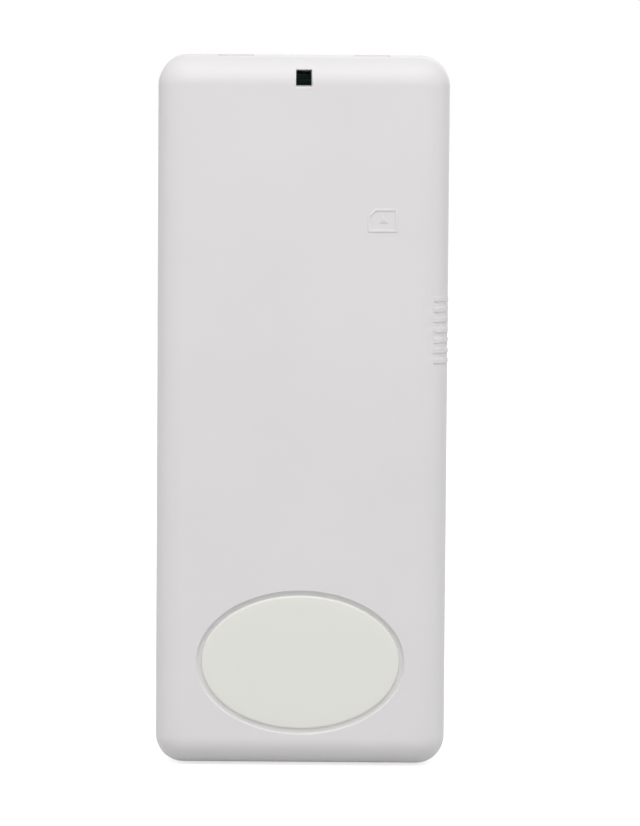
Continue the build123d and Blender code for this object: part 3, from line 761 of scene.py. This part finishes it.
class SENSOR_OT_marks(bpy.types.Operator):
    """Model the raised alignment mark and the ribs on the right side"""

    bl_idname = "sensor.marks"
    bl_label = "Raised marks"

    def execute(self, context):
        s = sizes()
        housing_high = span("rear_housing")[1]
        front = span("front_cover")[0].y + s["raise_mark"]
        self.mark(s, front, housing_high.z)
        self.ribs(s, front, housing_high)
        return {"FINISHED"}

    def mark(self, s, front, top):
        """An outline with one cut corner and an arrowhead in it, both with sloped sides."""
        x, z = s["mark_x"], top - s["mark_drop"]
        face = front - s["raise_mark"]
        back = front + MARK_ROOT
        begin()
        bpy.ops.mesh.primitive_plane_add(size=1, location=(x, back, z), rotation=(math.pi / 2, 0, 0))
        outline = bpy.context.object
        outline.scale = (s["mark_width"], s["mark_length"], 1)
        bpy.ops.object.transform_apply(location=True, rotation=True, scale=True)
        pick(outline, "verts", lambda v: v.co.x < x and v.co.z > z)
        bpy.ops.mesh.bevel(offset=s["mark_corner"], segments=1, affect="VERTICES")
        pick(outline, "faces", lambda f: True)
        bpy.ops.mesh.inset(thickness=s["mark_line"])
        bpy.ops.mesh.delete(type="FACE")
        pick(outline, "faces", lambda f: True)
        bpy.ops.mesh.extrude_region_move(TRANSFORM_OT_translate={"value": (0, face - back, 0)})
        begin()
        bpy.ops.mesh.primitive_cylinder_add(
            vertices=3,
            radius=ARROW_RADIUS,
            depth=back - face,
            location=(x + ARROW_SHIFT, (back + face) / 2, z),
            rotation=(math.pi / 2, 0, 0),
        )
        arrow = bpy.context.object
        bpy.ops.object.transform_apply(location=True, rotation=True, scale=True)
        on_face = at_y(face)
        for part in (outline, arrow):
            bevel(part, lambda e: on_face(e) and e.calc_face_angle(0) > 1, MARK_SLOPE, 2)
        settle(gather("alignment_mark", [outline, arrow]), "cover", "case_plastic")

    def ribs(self, s, front, high):
        """Low ribs that follow the rounded edge on the right side."""
        radius = s["edge"]
        axis = (high.x - s["draft"] - radius, front + radius)
        middle_z = high.z - s["rib_drop"]
        first = middle_z - (RIB_COUNT - 1) / 2 * s["rib_pitch"]
        begin()
        bpy.ops.mesh.primitive_plane_add(size=1, location=(axis[0] + radius - RIB_ROOT / 2, axis[1], first))
        rib = bpy.context.object
        rib.scale = (RIB_ROOT + 2 * s["rib_raise"], s["rib_width"], 1)
        rib.rotation_euler = (math.pi / 2, 0, 0)
        bpy.ops.object.transform_apply(location=True, rotation=True, scale=True)
        pick(rib, "faces", lambda f: True)
        bpy.ops.mesh.spin(steps=16, angle=RIB_ANGLE, center=(axis[0], axis[1], first), axis=(0, 0, 1))
        begin()
        ribs = [rib] + [copy_of(rib, (0, 0, n * s["rib_pitch"])) for n in range(1, RIB_COUNT)]
        settle(gather("side_ribs", ribs), "cover", "case_plastic")


class SENSOR_OT_solder(bpy.types.Operator):
    """Model the chips' metal ends and the solder round the reed switch's leads"""

    bl_idname = "sensor.solder"
    bl_label = "Solder and chip ends"

    def execute(self, context):
        ends = []
        for node in ("chip_resistors", "chip_capacitors"):
            for low, high in islands(node):
                skin = CHIP_END_SKIN
                for left, right in ((low[0] - skin, low[0] + CHIP_END), (high[0] - CHIP_END, high[0] + skin)):
                    end = block("end", (left, low[1] - skin, low[2] - skin), (right, high[1], high[2] + skin))
                    bevel(end, lambda e: True, 0.045, 2)
                    ends.append(end)
        settle(gather("chip_ends", ends), "housing", "tinned_pin")

        face = span("circuit_board")[0].y
        joints = []
        for low, high in islands("reed_leads"):
            upper = high[2] > middle("reed_glass").z + 3
            z = high[2] - LEAD_RADIUS if upper else low[2] + LEAD_RADIUS
            x = (low[0] + high[0]) / 2
            begin()
            bpy.ops.mesh.primitive_cone_add(
                vertices=40,
                radius1=SOLDER[0],
                radius2=SOLDER[1],
                depth=SOLDER[2],
                location=(x, face - 0.2, z),
                rotation=(math.pi / 2, 0, 0),
            )
            joint = bpy.context.object
            bpy.ops.object.transform_apply(location=True, rotation=True, scale=True)
            bevel(joint, lambda e: e.calc_face_angle(0) > 0.5, 0.06, 2)
            joints.append(joint)
        settle(gather("lead_solder", joints), "housing", "tinned_lead")
        return {"FINISHED"}


class SENSOR_OT_spring(bpy.types.Operator):
    """Copy the tamper spring into a piece of its own; the share by which it would shorten as the plunger is
    pressed is worked out but not used
    """

    bl_idname = "sensor.spring"
    bl_label = "Tamper spring"

    def execute(self, context):
        low, high = span("tamper_spring")
        spring = copy_of(frame["nodes"]["tamper_spring"], (0, 0, 0))
        spring.name = "tamper_coil"
        spring.parent = None
        take(spring)
        spring.scale = (1 / MM, 1 / MM, 1 / MM)
        bpy.ops.object.transform_apply(location=True, rotation=True, scale=True)
        settle(spring, "housing", "spring_steel", ["tamper_spring"])
        press = next(row for row in frame["record"]["behaviour"]["joints"] if row["name"] == "tamper_press")
        travel = press["range_m"][1] / MM
        1 - travel / (high.y - low.y)
        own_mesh(spring)
        return {"FINISHED"}


class SENSOR_OT_inside(bpy.types.Operator):
    """Give every other node of the frame its finish"""

    bl_idname = "sensor.inside"
    bl_label = "Inside"

    def execute(self, context):
        for row in frame["record"]["subparts"]:
            node = frame["nodes"][row["node"]]
            if node.hide_render:
                continue
            node.data.materials.clear()
            node.data.materials.append(finish_for(row["material_slot"]))
        return {"FINISHED"}


# ---------------------------------------------------------------- the stage
class SENSOR_OT_stage(bpy.types.Operator):
    """Set up the floor, the soft studio lights, the room and the camera"""

    bl_idname = "sensor.stage"
    bl_label = "Stage"

    def execute(self, context):
        stage = context.scene.sensor_stage
        low, high = cad_box
        self.floor(low.z)
        self.lights(stage)
        self.room(context, stage)
        self.camera(context, stage, (low + high) / 2)
        context.scene.view_settings.view_transform = "Standard"
        return {"FINISHED"}

    def floor(self, level):
        """A wide pale floor that looks white and still takes the sensor's shadow."""
        begin()
        bpy.ops.mesh.primitive_plane_add(size=6, location=(0, 0, level - 0.05 * MM))
        floor = bpy.context.object
        floor.name = "floor"
        bpy.ops.object.transform_apply(location=True, rotation=True, scale=True)
        net = Net("Pale floor")
        rays = net.tree.nodes.new("ShaderNodeLightPath")
        seen = Flow(net, rays.outputs["Is Camera Ray"]) + Flow(net, rays.outputs["Is Glossy Ray"])
        seen = seen + Flow(net, rays.outputs["Is Transmission Ray"])
        paint = net.node("ShaderNodeBsdfDiffuse", {}, {"Color": (0.85, 0.85, 0.85, 1)})
        dull = net.node("ShaderNodeBsdfDiffuse", {}, {"Color": (0.56, 0.56, 0.57, 1)})
        glow = net.node("ShaderNodeEmission", {}, {"Color": (1, 1, 1, 1), "Strength": 0.70})
        bright = net.node("ShaderNodeAddShader", {}, {0: paint, 1: glow})
        net.node_out(net.node("ShaderNodeMixShader", {}, {0: seen, 1: dull, 2: bright}))
        floor.data.materials.append(net.material)

    def lights(self, stage):
        """A broad light above and in front, and a softer one from each side."""
        plan = (
            ("key_light", (0.03, -0.40, 0.57), 0.4, stage.key),
            ("front_light", (0.0, -0.9, 0.28), 0.6, stage.fill * 0.5),
            ("left_light", (-0.7, -0.3, 0.2), 0.5, stage.fill * 1.3),
            ("right_light", (0.7, -0.3, 0.2), 0.5, stage.fill * 1.1),
            ("back_light", (0.25, 0.7, 0.2), 0.6, stage.fill),
        )
        for name, place, side, power in plan:
            begin()
            bpy.ops.object.light_add(type="AREA", location=place)
            lamp = bpy.context.object
            lamp.name = name
            lamp.data.size = side
            lamp.data.energy = power
            lamp.rotation_euler = (-Vector(place)).to_track_quat("-Z", "Y").to_euler()

    def room(self, context, stage):
        """White where the camera, gloss and glass see it, and a level soft light elsewhere."""
        world = bpy.data.worlds.new("Room")
        context.scene.world = world
        world.use_nodes = True
        tree = world.node_tree
        tree.nodes.clear()
        rays = tree.nodes.new("ShaderNodeLightPath")
        first = tree.nodes.new("ShaderNodeMath")
        first.operation = "MAXIMUM"
        tree.links.new(rays.outputs["Is Camera Ray"], first.inputs[0])
        tree.links.new(rays.outputs["Is Glossy Ray"], first.inputs[1])
        second = tree.nodes.new("ShaderNodeMath")
        second.operation = "MAXIMUM"
        tree.links.new(first.outputs[0], second.inputs[0])
        tree.links.new(rays.outputs["Is Transmission Ray"], second.inputs[1])
        level = tree.nodes.new("ShaderNodeMapRange")
        level.inputs["To Min"].default_value = stage.room
        level.inputs["To Max"].default_value = 1.0
        tree.links.new(second.outputs[0], level.inputs["Value"])
        glow = tree.nodes.new("ShaderNodeBackground")
        glow.inputs["Color"].default_value = (1, 1, 1, 1)
        tree.links.new(level.outputs[0], glow.inputs["Strength"])
        out = tree.nodes.new("ShaderNodeOutputWorld")
        tree.links.new(glow.outputs[0], out.inputs["Surface"])

    def camera(self, context, stage, centre):
        """A long lens in front of the sensor, slightly above it."""
        begin()
        level = math.cos(stage.elevation)
        back = Vector(
            (math.sin(stage.azimuth) * level, -math.cos(stage.azimuth) * level, math.sin(stage.elevation))
        )
        bpy.ops.object.camera_add(location=centre + back * stage.distance)
        camera = bpy.context.object
        camera.name = "camera"
        turn = (-back).to_track_quat("-Z", "Y").to_matrix()
        camera.rotation_euler = turn.to_euler()
        camera.rotation_euler.rotate_axis("Z", stage.roll)
        camera.data.sensor_width = 36
        camera.data.lens = 36 * stage.distance / PICTURE_HEIGHT
        camera.data.shift_x, camera.data.shift_y = PICTURE_SHIFT
        camera.data.clip_start = 0.01
        camera.data.clip_end = 20
        context.scene.camera = camera


class SENSOR_PT_panel(bpy.types.Panel):
    """Lists the pieces, the sizes and the colours"""

    bl_idname = "SENSOR_PT_panel"
    bl_label = "Door contact sensor"
    bl_space_type = "VIEW_3D"
    bl_region_type = "UI"
    bl_category = "Sensor"

    def draw(self, context):
        for operator in OPERATORS:
            self.layout.operator(operator.bl_idname)
        for group, kind in GROUPS.items():
            box = self.layout.box()
            for key in kind.__annotations__:
                box.prop(getattr(context.scene, group), key)


OPERATORS = (
    SENSOR_OT_cover,
    SENSOR_OT_badge,
    SENSOR_OT_marks,
    SENSOR_OT_solder,
    SENSOR_OT_spring,
    SENSOR_OT_inside,
    SENSOR_OT_stage,
)
GROUPS = {"sensor_sizes": SensorSizes, "sensor_colours": SensorColours, "sensor_stage": SensorStage}


def register():
    """Register the classes and hang the settings on the scene."""
    for kind in (*GROUPS.values(), *OPERATORS, SENSOR_PT_panel):
        bpy.utils.register_class(kind)
    for name, kind in GROUPS.items():
        setattr(bpy.types.Scene, name, bpy.props.PointerProperty(type=kind))


def unregister():
    """Take the settings and classes away again."""
    for name in GROUPS:
        delattr(bpy.types.Scene, name)
    for kind in (SENSOR_PT_panel, *reversed(OPERATORS), *reversed(GROUPS.values())):
        bpy.utils.unregister_class(kind)


def main():
    """Make every piece and the stage."""
    register()
    bpy.ops.sensor.cover()
    bpy.ops.sensor.badge()
    bpy.ops.sensor.marks()
    bpy.ops.sensor.solder()
    bpy.ops.sensor.spring()
    bpy.ops.sensor.inside()
    bpy.ops.sensor.stage()


if __name__ == "__main__":
    main()
